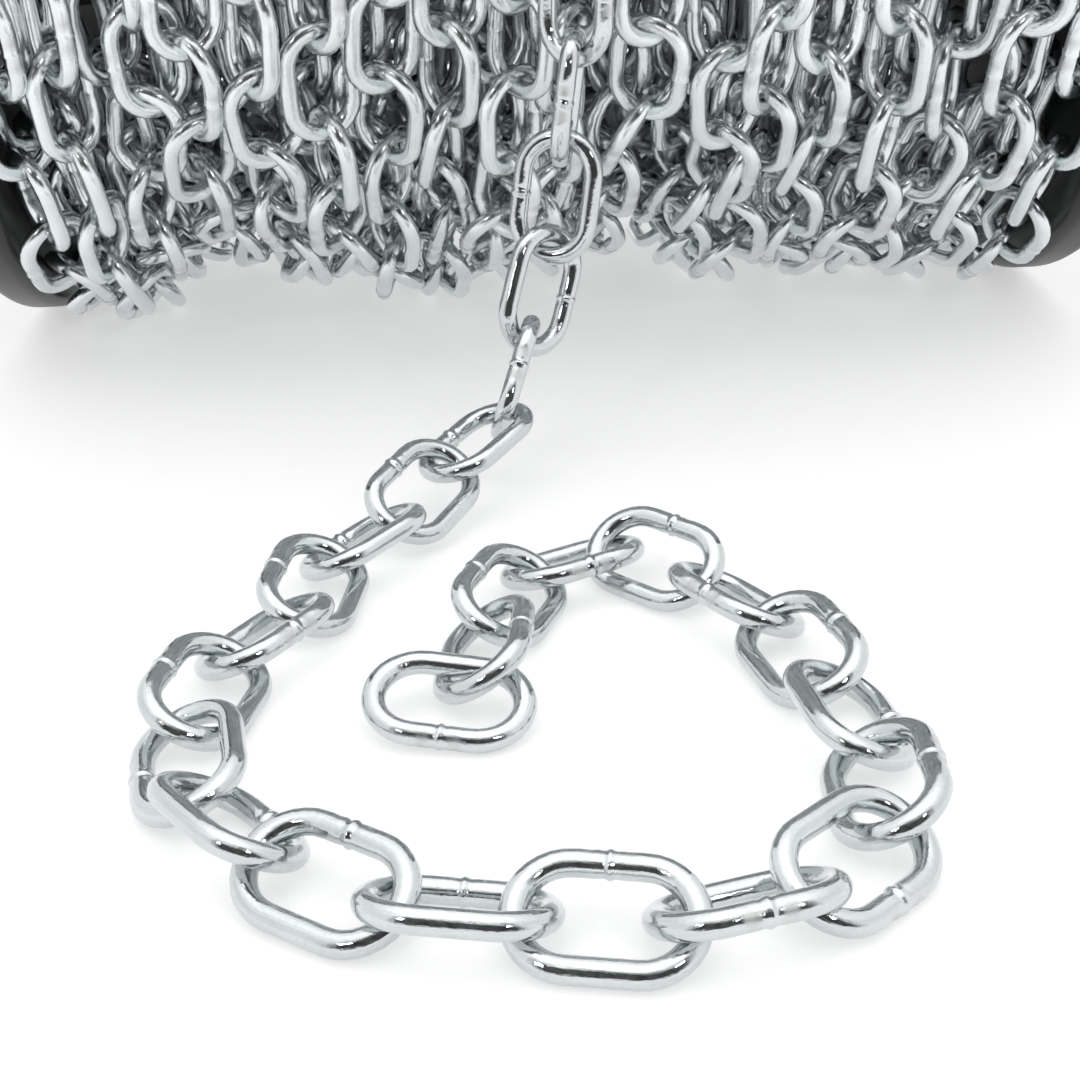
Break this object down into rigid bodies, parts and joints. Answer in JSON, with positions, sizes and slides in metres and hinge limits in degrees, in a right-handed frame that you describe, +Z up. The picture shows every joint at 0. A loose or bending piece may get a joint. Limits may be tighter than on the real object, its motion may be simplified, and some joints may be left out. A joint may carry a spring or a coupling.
{
  "type": "reel of steel chain",
  "caption": "Black plastic reel wound full of bright zinc-plated welded steel chain, with the free end run out on the floor in an inward spiral.",
  "frame": {"origin": "on the floor, in the middle of the footprint of the reel and its run-out chain", "axes": "+X along the reel's axis, to the right as seen from the side of the free end; -Y from the reel towards the free end; +Z up"},
  "size_m": [0.358, 0.552, 0.3138],
  "materials": {
    "zinc_plated_steel": "bright",
    "black_plastic": "satin"
  },
  "bodies": {
    "root": {"left_flange": "black_plastic", "right_flange": "black_plastic", "reel_barrel": "black_plastic", "hidden_winding": "zinc_plated_steel", "outer_winding": "zinc_plated_steel", "last_wrap": "zinc_plated_steel", "free_link_01": "zinc_plated_steel", "free_link_02": "zinc_plated_steel", "free_link_03": "zinc_plated_steel", "free_link_04": "zinc_plated_steel", "free_link_05": "zinc_plated_steel", "free_link_06": "zinc_plated_steel", "free_link_07": "zinc_plated_steel", "free_link_08": "zinc_plated_steel", "free_link_09": "zinc_plated_steel", "free_link_10": "zinc_plated_steel", "free_link_11": "zinc_plated_steel", "free_link_12": "zinc_plated_steel", "free_link_13": "zinc_plated_steel", "free_link_14": "zinc_plated_steel", "free_link_15": "zinc_plated_steel", "free_link_16": "zinc_plated_steel", "free_link_17": "zinc_plated_steel", "free_link_18": "zinc_plated_steel", "free_link_19": "zinc_plated_steel", "free_link_20": "zinc_plated_steel", "free_link_21": "zinc_plated_steel", "free_link_22": "zinc_plated_steel", "free_link_23": "zinc_plated_steel", "free_link_24": "zinc_plated_steel", "free_link_25": "zinc_plated_steel", "free_link_26": "zinc_plated_steel", "free_link_27": "zinc_plated_steel", "free_link_28": "zinc_plated_steel"}
  },
  "joints": []
}
